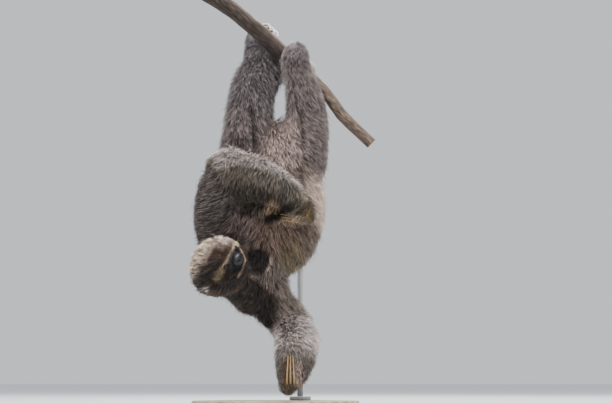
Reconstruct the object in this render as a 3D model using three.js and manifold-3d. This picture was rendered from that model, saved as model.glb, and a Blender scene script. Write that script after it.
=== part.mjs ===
// A three-toed sloth at life size, hanging head down by its hind feet from a cut length of branch.
// One forearm lies across the belly, the other arm hangs free with its claws folded on the palm.
// A bent rod on a round base carries the branch from behind.
// Millimetres, +Z up, -Y towards the viewer of the belly, origin under the middle of the base.
// The solids reach to the tips of the coat. Every piece is cut back by the ones made before it.
import * as THREE from "three";
import { mergeVertices } from "three/addons/utils/BufferGeometryUtils.js";
import Module from "manifold-3d";

const wasm = await Module();
wasm.setup();

// ---- driving dimensions ----
const GAP = 0.35; // clearance left between pieces that touch
const BODY_SIDES = 14; // facets round a limb
const TRUNK_SIDES = 22;
const RINGS_PER_STATION = 2; // cross-sections between one station of a spine and the next
const MASS_SIDES = 12; // sides of a mass that is joined to a part
const DOME_RINGS = 3; // rings of facets from the rim of a rounded end to its pole
const BALL_SIDES = { large: 16, middling: 12, small: 10 };
const BRANCH_SIDES = 14;

const BASE_RADIUS = 170;
const BASE_THICKNESS = 14;
const BASE_EDGE = 2.5;
const FLANGE_RADIUS = 22;
const FLANGE_HEIGHT = 7;
const ROD_RADIUS = 6;
const ROD_FOOT = [48, 112]; // x, y of the upright behind the back
const ROD_BEND = 45; // how much of the upright and of the arm the bend takes
const ROD_SIDES = 12;
const BEND_POINTS = 6;
const ARM_STEPS = 10;
const BASE_SIDES = 40;
const ARM_ALONG_BRANCH = 0.415; // share of the branch's length where the arm meets it

const EYE_RADIUS = 5.6;
const EYE_PLACE = { forward: 46, side: 22.5, up: 4.5 };
const NOSE_PLACE = { forward: 59, side: 0, up: -6 };
const NOSE_RADII = [8, 15, 10.5];
const EAR_PLACE = { forward: -12, side: 55, up: 4 };
const EAR_RADII = [11, 8, 14];

const CLAW_SIDES = 6;
const CLAW_STEPS = 6;
// Half thickness of a claw where it leaves its toe, and at its tip.
const FORE_CLAW = { root: 2.4, tip: 0.8 };
const HIND_CLAW = { root: 3.1, tip: 1.3 };
const CLAW_TAPER = 1.4; // above 1, a claw thins mostly towards its tip
const HIND_CLAW_PITCH = 6.4; // distance between neighbouring hind claws along the branch
const HOOK_LIFT = 6; // how far a hind claw arches off the bark between its ends

// Where the head sits and how it is turned: its forward, left and up directions.
const HEAD_CENTRE = new THREE.Vector3(-104, -92, 270);
const HEAD_FORWARD = new THREE.Vector3(0.52, -0.81, 0.26).normalize();
const HEAD_UP = new THREE.Vector3(0.37, 0.49, 0.79).cross(HEAD_FORWARD).negate().normalize();
const HEAD_LEFT = new THREE.Vector3().crossVectors(HEAD_UP, HEAD_FORWARD);

// The masses that make up the head, in its own forward, left, up directions: centre, then radii.
const HEAD_MASSES = [
  { centre: [-2, 0, 4], radii: [56, 62, 56], sides: BALL_SIDES.large }, // cranium with its coat
  { centre: [20, 0, -8], radii: [36, 46, 38], sides: BALL_SIDES.middling }, // cheeks and brow
  { centre: [38, 0, -14], radii: [25, 25, 21], sides: BALL_SIDES.middling }, // muzzle
];

// Each length of the body follows a spine. A station is x, y, z, half width, half depth. The depth is
// measured along depthwards, or along Y where none is given. Each part runs to the station named, and
// joined holds the stations of a further mass of a part: the thick hair of an elbow, or the furred
// fingers that lie back over a palm.
const BODY = [
  {
    parts: { trunk: 7 },
    sides: TRUNK_SIDES,
    stations: [
      [8, 16, 562, 22, 24],
      [1, 16, 530, 56, 46],
      [0, 16, 485, 86, 66],
      [-4, 15, 430, 103, 79],
      [-6, 12, 381, 102, 82],
      [-15, 9, 332, 94, 75],
      [-34, 7, 286, 69, 62],
      [-42, 6, 223, 42, 44],
    ],
  },
  {
    parts: { neck: 2 },
    stations: [
      [-50, -4, 220, 37, 38],
      [-63, -24, 233, 35, 37],
      [-84, -54, 256, 42, 40],
    ],
  },
  {
    parts: { tail: 2 },
    stations: [
      [4, 50, 532, 18, 16],
      [5, 73, 545, 15, 14],
      [6, 92, 560, 11, 10],
    ],
  },
  {
    parts: { upper_arm_left: 3, forearm_left: 7, hand_left: 9 },
    joined: {
      forearm_left: [
        [-108, -50, 475, 30, 30],
        [-86, -58, 478, 34, 33],
      ],
      hand_left: [
        [58, -88, 368, 13, 11],
        [44, -93, 369, 12, 10],
        [24, -91, 374, 9, 8],
      ],
    },
    stations: [
      [-100, -2, 312, 44, 42],
      [-115, -28, 360, 46, 42],
      [-113, -46, 406, 45, 40],
      [-92, -64, 446, 50, 40],
      [-49, -84, 445, 47, 37],
      [-14, -96, 432, 41, 33],
      [23, -98, 413, 33, 27],
      [46, -91, 395, 26, 21.5],
      [60, -82, 379, 22, 17],
      [67, -74, 368, 15, 13],
    ],
  },
  {
    parts: { upper_arm_right: 3 },
    stations: [
      [-20, 8, 274, 44, 42],
      [-15, 16, 213, 48, 42],
      [10, 28, 190, 42, 40],
      [34, 34, 160, 43, 40],
    ],
  },
  {
    parts: { forearm_right: 3, hand_right: 6 },
    depthwards: [1, 0, 0],
    stations: [
      [38, 16, 148, 38, 41],
      [43, -12, 133, 40, 45],
      [42, -48, 114, 36, 42],
      [39.5, -67, 99, 31, 40],
      [35, -75, 74, 25, 35],
      [29, -77, 54, 21, 27],
      [25, -77, 43, 17, 19],
    ],
  },
  {
    parts: { thigh_left: 2, shank_left: 5, foot_left: 7 },
    stations: [
      [-72, 8, 486, 49, 44],
      [-59, 9, 545, 51, 44],
      [-54, 13, 593, 50, 42],
      [-48, 18, 639, 47, 39],
      [-34, 25, 674, 49, 34],
      [-32, 30, 704, 39, 26],
      [-40, 34, 740, 27, 20],
      [-41, 33, 759, 19, 15],
    ],
  },
  {
    parts: { thigh_right: 2, shank_right: 5, foot_right: 7 },
    stations: [
      [60, 8, 486, 42, 42],
      [60, 3, 538, 45, 42],
      [60, -6, 591, 42, 37],
      [53, -18, 632, 36, 31],
      [46, -26, 661, 31, 25],
      [41, -31, 686, 27, 21],
      [39.5, -29, 704, 27, 19],
      [41, -22, 717, 20, 15],
    ],
  },
];

// The branch: x, y, z of its centre line and its half thickness.
const BRANCH = [
  [-146, 6, 840, 18],
  [-88, 2, 801, 17],
  [13, 0, 712, 15.5],
  [96, 0, 634, 12.2],
  [131, 2, 586, 12.4],
  [193, 8, 527, 12],
];

// Fore claws: where the first one leaves the hand, the point that its curve leans to and its tip, and
// the steps from these to the next claw's.
const FORE_CLAWS = {
  left: {
    root: [60, -74, 373],
    lean: [66, -74, 367],
    tip: [10, -73.5, 375],
    rootStep: [-1, 0, -5.6],
    tipStep: [1, 0, -5.2],
  },
  right: {
    root: [23.5, -90, 46],
    lean: [23.5, -121, 52],
    tip: [26, -105, 100],
    rootStep: [7, 0, 0],
    tipStep: [4.6, 0, 0],
  },
};

// Hind claws hook round the branch: where they leave the foot along it, how far they slide along it on
// their way, and the angles about it where a hook starts and ends. 0 degrees is the branch's upper side
// and 90 degrees is the side away from the viewer.
const HIND_CLAWS = {
  left: { along: 0.288, slide: 26, from: 96, to: -32 },
  right: { along: 0.474, slide: 22, from: -60, to: 104 },
};

// ---- materials ----
const finish = (color, roughness, metalness = 0) =>
  new THREE.MeshStandardMaterial({ color, roughness, metalness });
const COAT = finish(0x6f6359, 0.95);
const FACE_COAT = finish(0x85735f, 0.95);
const EYE = finish(0x120c09, 0.1);
const NOSE = finish(0x1a191b, 0.45);
const CLAW = finish(0xc9b48c, 0.5);
const BARK = finish(0x6a5444, 0.85);
const PAINTED_STEEL = finish(0xa3a39f, 0.45, 0.3);
const LACQUERED_WOOD = finish(0xbcb4a8, 0.5);

// ---- shape tools ----
const vector = ([x, y, z]) => new THREE.Vector3(x, y, z);

// A closed three.js geometry as a manifold-3d solid.
function solid(geometry) {
  const bare = new THREE.BufferGeometry().setAttribute("position", geometry.getAttribute("position"));
  bare.setIndex(geometry.index);
  const merged = mergeVertices(bare, 1e-3);
  const corners = merged.index.array;
  const faces = [];
  for (let i = 0; i < corners.length; i += 3) {
    const [a, b, c] = [corners[i], corners[i + 1], corners[i + 2]];
    if (a !== b && b !== c && c !== a) faces.push(a, b, c);
  }
  return new wasm.Manifold(
    new wasm.Mesh({
      numProp: 3,
      vertProperties: merged.attributes.position.array,
      triVerts: new Uint32Array(faces),
    }),
  );
}

// A solid back as a geometry, with flat facets.
function geometryOf(piece) {
  const mesh = piece.getMesh();
  const points = new Float32Array(mesh.numVert * 3);
  for (let i = 0; i < mesh.numVert; i++)
    points.set(mesh.vertProperties.subarray(i * mesh.numProp, i * mesh.numProp + 3), i * 3);
  const geometry = new THREE.BufferGeometry();
  geometry.setAttribute("position", new THREE.BufferAttribute(points, 3));
  geometry.setIndex(new THREE.BufferAttribute(mesh.triVerts, 1));
  geometry.computeVertexNormals();
  return geometry;
}

// Half the outline of a tube of unit radius that runs from 0 to steps. An end is a dome or a flat.
function tubeOutline(steps, [flatStart, flatEnd], rings) {
  const turns = Array.from({ length: rings }, (_, i) => ((Math.PI / 2) * i) / rings);
  const dome = turns.map((turn) => new THREE.Vector2(Math.sin(turn), Math.cos(turn)));
  const flat = [new THREE.Vector2(0, 0)];
  const start = (flatStart ? flat : dome).map(({ x, y }) => new THREE.Vector2(x, -y));
  const wall = Array.from({ length: steps + 1 }, (_, i) => new THREE.Vector2(1, i));
  const end = (flatEnd ? flat : dome).map(({ x, y }) => new THREE.Vector2(x, steps + y));
  return [...start, ...wall, ...end.reverse()];
}

// A tube bent along a spine, from one of its stations to another.
function bentTube(stations, grow, options = {}) {
  const last = stations.length - 1;
  const { from = 0, to = last, flats = [false, false], rings = DOME_RINGS } = options;
  const { sides = BODY_SIDES, steps = (to - from) * RINGS_PER_STATION, depthwards = [0, 1, 0] } = options;
  const spine = new THREE.CatmullRomCurve3(stations.map(vector), false, "catmullrom");
  const girth = new THREE.SplineCurve(
    stations.map(([, , , wide, deep]) => new THREE.Vector2(wide + grow, deep + grow)),
  );
  const tube = new THREE.LatheGeometry(tubeOutline(steps, flats, rings), sides);
  const points = tube.getAttribute("position");
  for (let i = 0; i < points.count; i++) {
    const onWall = THREE.MathUtils.clamp(points.getY(i), 0, steps);
    const share = THREE.MathUtils.lerp(from, to, onWall / steps) / last;
    const ring = girth.getPoint(share);
    const dome = (points.getY(i) - onWall) * Math.min(ring.x, ring.y);
    const flat = flats[0] && onWall === 0 ? -grow : flats[1] && onWall === steps ? grow : 0;
    const forward = spine.getTangent(share);
    const across = new THREE.Vector3().crossVectors(forward, vector(depthwards)).normalize();
    const inwards = new THREE.Vector3().crossVectors(across, forward);
    const place = spine
      .getPoint(share)
      .addScaledVector(forward, dome + flat)
      .addScaledVector(across, points.getX(i) * ring.x)
      .addScaledVector(inwards, points.getZ(i) * ring.y);
    points.setXYZ(i, place.x, place.y, place.z);
  }
  return solid(tube);
}

// The matrix that takes the head's own directions to the part's frame.
const headFrame = new THREE.Matrix4()
  .makeBasis(HEAD_FORWARD, HEAD_LEFT, HEAD_UP)
  .setPosition(HEAD_CENTRE);

function headBall([forward, left, up], [rx, ry, rz], grow, sides = BALL_SIDES.small) {
  const ball = new THREE.SphereGeometry(1, sides, Math.round(sides * 0.65));
  ball.scale(rx + grow, ry + grow, rz + grow).translate(forward, left, up);
  return solid(ball.applyMatrix4(headFrame));
}

// ---- the animal ----
function head(grow) {
  const masses = HEAD_MASSES.map(({ centre, radii, sides }) => headBall(centre, radii, grow, sides));
  return masses.reduce((whole, mass) => whole.add(mass));
}

function eye(side, grow) {
  const { forward, side: out, up } = EYE_PLACE;
  return headBall([forward, side * out, up], [EYE_RADIUS, EYE_RADIUS, EYE_RADIUS], grow);
}

function nose(grow) {
  return headBall([NOSE_PLACE.forward, NOSE_PLACE.side, NOSE_PLACE.up], NOSE_RADII, grow);
}

function ear(side, grow) {
  const { forward, side: out, up } = EAR_PLACE;
  return headBall([forward, side * out, up], EAR_RADII, grow);
}

// The parts of one length of the body, each with flat ends where it meets the next.
function bodyParts({ parts, stations, sides, depthwards, joined = {} }) {
  const names = Object.keys(parts);
  return names.map((name, n) => {
    const [from, to] = [n ? parts[names[n - 1]] : 0, parts[name]];
    const flats = [n > 0, n < names.length - 1];
    const length = (grow) => bentTube(stations, grow, { from, to, flats, sides, depthwards });
    const mass = joined[name];
    return [name, mass ? (grow) => length(grow).add(bentTube(mass, grow, { sides: MASS_SIDES })) : length, COAT];
  });
}

// A claw's cross direction is one that no claw's curve ever runs along.
const CLAW_OPTIONS = { sides: CLAW_SIDES, steps: CLAW_STEPS, rings: 1, depthwards: [0.31, 0.53, 0.79] };

// A claw tapers along a curve of evenly spaced points.
function claw({ root, tip }, curve, grow) {
  const stations = Array.from({ length: CLAW_STEPS + 1 }, (_, i) => {
    const share = i / CLAW_STEPS;
    const half = THREE.MathUtils.lerp(root, tip, share ** CLAW_TAPER);
    return [...curve(share).toArray(), half, half];
  });
  return bentTube(stations, grow, CLAW_OPTIONS);
}

function foreClaw({ root, lean, tip, rootStep, tipStep }, count, grow) {
  const from = vector(root).addScaledVector(vector(rootStep), count);
  const over = vector(lean).addScaledVector(vector(rootStep), count);
  const to = vector(tip).addScaledVector(vector(tipStep), count);
  const bow = new THREE.QuadraticBezierCurve3(from, over, to);
  return claw(FORE_CLAW, (share) => bow.getPoint(share), grow);
}

const branchLine = new THREE.CatmullRomCurve3(BRANCH.map(vector), false, "catmullrom");
const branchGirth = new THREE.SplineCurve(BRANCH.map(([, , , half]) => new THREE.Vector2(half, half)));

// The branch's centre, its upper side and the side away from the viewer, at a share of its length.
function branchFrame(share) {
  const centre = branchLine.getPoint(share);
  const along = branchLine.getTangent(share);
  const back = new THREE.Vector3(0, 1, 0).addScaledVector(along, -along.y).normalize();
  const upper = new THREE.Vector3().crossVectors(along, back).normalize();
  return { centre, back, upper, half: branchGirth.getPoint(share).x };
}

function hindClaw({ along, slide, from, to }, place, grow) {
  const curve = (way) => {
    const share = along + (place * HIND_CLAW_PITCH + slide * way) / branchLine.getLength();
    const { centre, back, upper, half } = branchFrame(share);
    const reach = half + HIND_CLAW.root + 2 * GAP + HOOK_LIFT * Math.sin(Math.PI * way);
    const turn = THREE.MathUtils.degToRad(THREE.MathUtils.lerp(from, to, way));
    return centre
      .clone()
      .addScaledVector(upper, reach * Math.cos(turn))
      .addScaledVector(back, reach * Math.sin(turn));
  };
  return claw(HIND_CLAW, curve, grow);
}

// ---- the perch and the stand ----
function perch(grow) {
  const stations = BRANCH.map(([x, y, z, half]) => [x, y, z, half, half]);
  return bentTube(stations, grow, { sides: BRANCH_SIDES, flats: [true, true] });
}

function standBase(grow) {
  const rim = BASE_RADIUS + grow;
  const top = BASE_THICKNESS + grow;
  const profile = [
    [0, 0],
    [rim, 0],
    [rim, top - BASE_EDGE],
    [rim - BASE_EDGE, top],
    [0, top],
  ].map(([r, z]) => new THREE.Vector2(r, z));
  return solid(new THREE.LatheGeometry(profile, BASE_SIDES).rotateX(Math.PI / 2));
}

function upright(radius, bottom, top) {
  const post = new THREE.CylinderGeometry(radius, radius, top - bottom, ROD_SIDES).rotateX(Math.PI / 2);
  return solid(post.translate(...ROD_FOOT, (top + bottom) / 2));
}

const meeting = branchLine.getPoint(ARM_ALONG_BRANCH);
const flangeTop = BASE_THICKNESS + GAP + FLANGE_HEIGHT;
const uprightTop = meeting.z - ROD_BEND;

function standFlange(grow) {
  return upright(FLANGE_RADIUS + grow, BASE_THICKNESS + GAP - grow, flangeTop + grow);
}

function standRod(grow) {
  return upright(ROD_RADIUS + grow, flangeTop + GAP - grow, uprightTop + grow);
}

// The bend and the level arm that reaches forward to the branch.
function standArm(grow) {
  const foot = new THREE.Vector3(...ROD_FOOT, uprightTop + GAP - grow);
  const corner = new THREE.Vector3(...ROD_FOOT, meeting.z);
  const reach = meeting.clone().sub(corner);
  const level = corner.clone().addScaledVector(reach.clone().normalize(), ROD_BEND);
  const line = new THREE.CatmullRomCurve3([
    ...new THREE.QuadraticBezierCurve3(foot, corner, level).getPoints(BEND_POINTS),
    level.clone().lerp(meeting, 0.5),
    meeting,
  ]);
  const circle = new THREE.Shape().absarc(0, 0, ROD_RADIUS + grow, 0, Math.PI * 2);
  return solid(
    new THREE.ExtrudeGeometry(circle, { extrudePath: line, steps: ARM_STEPS, curveSegments: ROD_SIDES / 2 }),
  );
}

// ---- every piece in the order in which it cuts the next ones ----
const SIDES = { left: 1, right: -1 };
const pieces = [
  ...Object.keys(SIDES).map((s) => [`eye_${s}`, (grow) => eye(SIDES[s], grow), EYE]),
  ["nose", nose, NOSE],
  ["perch", perch, BARK],
  ["head", head, FACE_COAT],
  ...Object.keys(SIDES).map((s) => [`ear_${s}`, (grow) => ear(SIDES[s], grow), COAT]),
  ...BODY.flatMap(bodyParts),
  ...[0, 1, 2].flatMap((n) =>
    Object.keys(SIDES).flatMap((s) => [
      [`fore_claw_${s}_${n + 1}`, (grow) => foreClaw(FORE_CLAWS[s], n, grow), CLAW],
      [`hind_claw_${s}_${n + 1}`, (grow) => hindClaw(HIND_CLAWS[s], n - 1, grow), CLAW],
    ]),
  ),
  ["stand_base", standBase, LACQUERED_WOOD],
  ["stand_flange", standFlange, PAINTED_STEEL],
  ["stand_rod", standRod, PAINTED_STEEL],
  ["stand_arm", standArm, PAINTED_STEEL],
];

// The largest body of a solid, so that a cut leaves no crumbs.
const largest = (piece) => piece.decompose().reduce((a, b) => (a.volume() > b.volume() ? a : b));

const part = new THREE.Group();
const cutters = [];
for (const [name, make, material] of pieces) {
  const piece = largest(cutters.reduce((whole, cutter) => whole.subtract(cutter), make(0)));
  cutters.push(make(GAP));
  const mesh = new THREE.Mesh(geometryOf(piece), material);
  mesh.name = name;
  part.add(mesh);
}

export default part;
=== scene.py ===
# A three-toed sloth hanging head down from a cut branch: skin, coat, eyes, nose, claws, branch, stand.
# Metres, +Z up, the belly towards -Y. Values given in millimetres are multiplied by MM.
import math
from dataclasses import dataclass

import bmesh
import bpy
import numpy as np
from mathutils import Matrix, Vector, noise
from mathutils.bvhtree import BVHTree
from mathutils.kdtree import KDTree


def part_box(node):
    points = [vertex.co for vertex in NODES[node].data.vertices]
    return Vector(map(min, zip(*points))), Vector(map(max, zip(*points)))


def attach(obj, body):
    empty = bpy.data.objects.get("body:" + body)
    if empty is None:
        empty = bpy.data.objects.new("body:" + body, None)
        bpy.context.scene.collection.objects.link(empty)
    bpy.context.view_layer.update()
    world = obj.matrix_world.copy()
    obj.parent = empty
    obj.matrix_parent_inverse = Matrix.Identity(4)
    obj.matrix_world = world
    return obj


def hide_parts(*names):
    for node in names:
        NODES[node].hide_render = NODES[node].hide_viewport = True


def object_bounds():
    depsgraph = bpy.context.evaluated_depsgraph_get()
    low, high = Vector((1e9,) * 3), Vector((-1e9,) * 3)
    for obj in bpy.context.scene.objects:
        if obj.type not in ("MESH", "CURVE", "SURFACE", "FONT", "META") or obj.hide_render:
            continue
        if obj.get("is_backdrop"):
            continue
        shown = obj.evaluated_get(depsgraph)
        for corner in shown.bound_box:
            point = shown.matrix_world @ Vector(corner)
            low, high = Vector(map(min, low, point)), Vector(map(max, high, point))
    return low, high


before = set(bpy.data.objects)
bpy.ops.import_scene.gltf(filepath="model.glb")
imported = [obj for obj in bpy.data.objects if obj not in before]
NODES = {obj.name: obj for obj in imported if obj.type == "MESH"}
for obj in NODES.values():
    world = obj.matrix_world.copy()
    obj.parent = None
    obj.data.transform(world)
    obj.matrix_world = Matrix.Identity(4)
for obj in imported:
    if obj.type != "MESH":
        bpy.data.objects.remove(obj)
cad_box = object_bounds()
scene = bpy.context.scene

MM = 0.001
SIDES = {"left": 1, "right": -1}
TOES = (1, 2, 3)
CLAWS = [f"{limb}_claw_{side}_{toe}" for limb in ("fore", "hind") for side in SIDES for toe in TOES]
HIDDEN_CLAWS = [f"fore_claw_left_{toe}" for toe in TOES]  # folded away under the hair of the hand
BARE = ["eye_left", "eye_right", "nose", "perch"]
STAND = ["stand_base", "stand_flange", "stand_rod", "stand_arm"]
FLESH = [name for name in NODES if name not in CLAWS + BARE + STAND]
SEED = 7
random = np.random.default_rng(SEED)
noise.seed_set(SEED)


# ---- camera, floor and light ----
CAMERA_PLACE = Vector((0.060, -2.9784, 0.050))
CAMERA_TARGET = Vector((0.060, 0.0, 0.409))
LENS = 88.24
SENSOR = 36.0
FLOOR_RADIUS = 40.0
SKY = (0.86, 0.90, 0.95, 1)
SKY_STRENGTH = 0.85
LIGHTS = {  # where it hangs, what it points at, its width in metres, watts, colour
    "key": ((-0.1, -0.9, 2.9), (0, 0, 0.42), 1.5, 150, (1, 0.985, 0.97)),
    "fill": ((1.9, -2.4, 1.2), (0, 0, 0.40), 2.0, 20, (0.95, 0.97, 1)),
    "rim": ((0.5, 1.9, 2.3), (0, 0, 0.45), 1.6, 60, (1, 1, 1)),
}


def make_camera():
    camera = bpy.data.objects.new("camera", bpy.data.cameras.new("camera"))
    camera.location = CAMERA_PLACE
    camera.rotation_mode = "QUATERNION"
    camera.rotation_quaternion = (CAMERA_TARGET - CAMERA_PLACE).to_track_quat("-Z", "Y")
    camera.data.lens = LENS
    camera.data.sensor_width = SENSOR
    camera.data.clip_end = 2 * FLOOR_RADIUS
    scene.collection.objects.link(camera)
    scene.camera = camera


def make_light(name, place, aim, size, watts, colour):
    light = bpy.data.objects.new(name, bpy.data.lights.new(name, "AREA"))
    light.location = place
    light.rotation_euler = (Vector(aim) - Vector(place)).to_track_quat("-Z", "Y").to_euler()
    light.data.size = size
    light.data.energy = watts
    light.data.color = colour
    scene.collection.objects.link(light)


def make_studio(floor_finish):
    world = bpy.data.worlds.new("studio")
    world.use_nodes = True
    background = world.node_tree.nodes["Background"]
    background.inputs["Color"].default_value = SKY
    background.inputs["Strength"].default_value = SKY_STRENGTH
    scene.world = world
    for name, numbers in LIGHTS.items():
        make_light(name, *numbers)
    shape = bmesh.new()
    bmesh.ops.create_circle(shape, cap_ends=True, segments=96, radius=FLOOR_RADIUS)
    floor = finished_piece("floor", shape, floor_finish)
    floor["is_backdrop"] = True


# ---- meshes ----
JOIN_DISTANCE = 0.02 * MM
EVEN_OUT = 0.5
SWELL_BACK = -0.53


def finished_piece(name, shape, finish):
    """Turns a bmesh into an object that wears one finish."""
    mesh = bpy.data.meshes.new(name)
    shape.to_mesh(mesh)
    shape.free()
    return piece_of(name, mesh, finish)


def piece_of(name, mesh, finish):
    mesh.materials.clear()
    mesh.materials.append(finish.material)
    mesh.polygons.foreach_set("use_smooth", [True] * len(mesh.polygons))
    piece = bpy.data.objects.new(name, mesh)
    scene.collection.objects.link(piece)
    return piece


def dress(piece, slot, *nodes):
    """Sets a piece on the body, in the place of the solids that it stands for."""
    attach(piece, "root")
    if nodes:
        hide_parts(*nodes)


def merged_copy(node):
    """A bmesh of a solid, with its loose triangles joined up."""
    shape = bmesh.new()
    shape.from_mesh(NODES[node].data)
    bmesh.ops.remove_doubles(shape, verts=shape.verts, dist=JOIN_DISTANCE)
    return shape


def voxel_skin(shape, size):
    """One closed surface round all that a bmesh holds, as a mesh."""
    mesh = bpy.data.meshes.new("rough")
    shape.to_mesh(mesh)
    shape.free()
    rough = bpy.data.objects.new("rough", mesh)
    scene.collection.objects.link(rough)
    remesh = rough.modifiers.new("remesh", "REMESH")
    remesh.mode = "VOXEL"
    remesh.voxel_size = size
    depsgraph = bpy.context.evaluated_depsgraph_get()
    closed = bpy.data.meshes.new_from_object(rough.evaluated_get(depsgraph))
    bpy.data.objects.remove(rough)
    bpy.data.meshes.remove(mesh)
    return closed


def rows_of(mesh, what):
    """The "co" or the "normal" of each vertex, as rows."""
    flat = np.zeros(len(mesh.vertices) * 3)
    mesh.vertices.foreach_get(what, flat)
    return flat.reshape(-1, 3)


def move_points(mesh, points):
    mesh.vertices.foreach_set("co", points.ravel())
    mesh.update()


class Neighbours:
    """Averages a value over the vertices next to each vertex of a mesh."""

    def __init__(self, mesh):
        ends = np.zeros(len(mesh.edges) * 2, int)
        mesh.edges.foreach_get("vertices", ends)
        ends = ends.reshape(-1, 2)
        self.start = np.concatenate([ends[:, 0], ends[:, 1]])
        self.end = np.concatenate([ends[:, 1], ends[:, 0]])
        self.size = len(mesh.vertices)
        self.count = np.maximum(np.bincount(self.start, minlength=self.size), 1)

    def average(self, values):
        columns = values.reshape(self.size, -1)
        sums = [np.bincount(self.start, column[self.end], self.size) for column in columns.T]
        return (np.stack(sums, axis=1) / self.count[:, None]).reshape(values.shape)

    def smooth(self, values, rounds, strength=EVEN_OUT):
        for _ in range(rounds):
            values = values + strength * (self.average(values) - values)
        return values

    def smooth_shape(self, points, rounds):
        """Evens out the points, and swells them back so that thin parts keep their size."""
        for _ in range(rounds):
            points = self.smooth(points, 1)
            points = self.smooth(points, 1, SWELL_BACK)
        return points


def write_colours(mesh, colours):
    store = mesh.color_attributes.new("markings", "FLOAT_COLOR", "POINT")
    with_alpha = np.ones((len(colours), 4), np.float32)
    with_alpha[:, :3] = colours
    store.data.foreach_set("color", with_alpha.ravel())


def write_values(mesh, name, values):
    store = mesh.attributes.new(name, "FLOAT", "POINT")
    store.data.foreach_set("value", np.asarray(values, np.float32))


def unit(vectors):
    return vectors / np.maximum(np.linalg.norm(vectors, axis=-1, keepdims=True), 1e-9)


def ramp(values, start, end):
    """0 at start and 1 at end, with a soft turn at both."""
    share = np.clip((values - start) / (end - start), 0, 1)
    return share * share * (3 - 2 * share)


def hump(values, middle, width):
    """1 at the middle, and down to 0 on both sides of it like a bell."""
    return np.exp(-(((values - middle) / width) ** 2))


def blend(first, second, share):
    """Between two values by a share from 0 to 1, for each point."""
    share = np.asarray(share)
    if np.ndim(first) > 1:
        share = share[:, None]
    return first + (np.asarray(second) - first) * share


# ---- finishes ----
def linear(red, green, blue):
    """A display colour, 0 to 255, as the numbers that a shader takes."""
    shares = np.array([red, green, blue]) / 255
    return np.where(shares <= 0.04045, shares / 12.92, ((shares + 0.055) / 1.055) ** 2.4)


def rgba(red, green, blue):
    return (*linear(red, green, blue), 1)


class Wire:
    """An output of a node. Arithmetic on it adds Math nodes."""

    def __init__(self, finish, socket):
        self.finish = finish
        self.socket = socket

    def maths(self, operation, first, second):
        return self.finish.node("ShaderNodeMath", {"operation": operation}, {0: first, 1: second})

    def __add__(self, other):
        return self.maths("ADD", self, other)

    def __sub__(self, other):
        return self.maths("SUBTRACT", self, other)

    def __rsub__(self, other):
        return self.maths("SUBTRACT", other, self)

    def __mul__(self, other):
        return self.maths("MULTIPLY", self, other)

    __radd__ = __add__
    __rmul__ = __mul__


class Finish:
    """One material: the shader's own numbers, and the nodes that feed it."""

    def __init__(self, name, **numbers):
        self.material = bpy.data.materials.new(name)
        self.material.use_nodes = True
        self.tree = self.material.node_tree
        self.shader = self.tree.nodes["Principled BSDF"]
        for socket, value in numbers.items():
            self.feed(socket.replace("_", " "), value)

    def join(self, socket, value):
        if isinstance(value, Wire):
            self.tree.links.new(value.socket, socket)
        else:
            socket.default_value = value

    def feed(self, socket, value):
        self.join(self.shader.inputs[socket], value)

    def node(self, kind, settings, inputs, output=0):
        made = self.tree.nodes.new(kind)
        for name, value in settings.items():
            if name == "stops":
                self.set_stops(made.color_ramp, value)
            else:
                setattr(made, name, value)
        for name, value in inputs.items():
            self.join(made.inputs[name], value)
        return Wire(self, made.outputs[output])

    def set_stops(self, colour_ramp, stops):
        while len(colour_ramp.elements) < len(stops):
            colour_ramp.elements.new(0.5)
        for element, (place, colour) in zip(colour_ramp.elements, stops):
            element.position = place
            element.color = colour

    def place(self, turn=(0, 0, 0), stretch=(1, 1, 1)):
        """A piece's own coordinates, turned first and stretched after."""
        coordinates = self.node("ShaderNodeTexCoord", {}, {}, "Object")
        turned = self.node("ShaderNodeMapping", {}, {"Vector": coordinates, "Rotation": turn})
        return self.node("ShaderNodeMapping", {}, {"Vector": turned, "Scale": stretch})

    def grain(self, vector, scale, detail=3, roughness=0.55):
        numbers = {"Vector": vector, "Scale": scale, "Detail": detail, "Roughness": roughness}
        return self.node("ShaderNodeTexNoise", {}, numbers)

    def stored(self, name, output="Color"):
        return self.node("ShaderNodeAttribute", {"attribute_name": name}, {}, output)

    def shares(self, value, *stops):
        """Shares of red, green and blue by a value, such as those that multiply a colour."""
        stops = [(place, (*share, 1)) for place, share in stops]
        return self.node("ShaderNodeValToRGB", {"stops": stops}, {0: value})

    def colours(self, value, *stops):
        """Display colours, 0 to 255, by a value."""
        return self.shares(value, *((place, linear(*colour)) for place, colour in stops))

    def mix(self, share, first, second, how="MIX"):
        settings = {"data_type": "RGBA", "blend_type": how}
        return self.node("ShaderNodeMix", settings, {0: share, 6: first, 7: second}, 2)

    def bump(self, height, strength, distance):
        numbers = {"Height": height, "Strength": strength, "Distance": distance}
        self.feed("Normal", self.node("ShaderNodeBump", {}, numbers))


def hair_finish():
    finish = Finish("hair", Specular_IOR_Level=0.35)
    fine = finish.grain(finish.place(), scale=900, detail=2)
    soft = finish.grain(finish.place(), scale=70)
    lively = finish.shares(fine, (0.3, (0.80, 0.78, 0.76)), (0.7, (1.16, 1.15, 1.13)))
    faded = finish.shares(soft, (0.35, (0.90, 0.88, 0.86)), (0.65, (1.08, 1.08, 1.07)))
    base = finish.mix(1.0, finish.stored("markings"), lively, "MULTIPLY")
    finish.feed("Base Color", finish.mix(1.0, base, faded, "MULTIPLY"))
    finish.feed("Roughness", 0.52 + fine * 0.2)
    return finish


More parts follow.
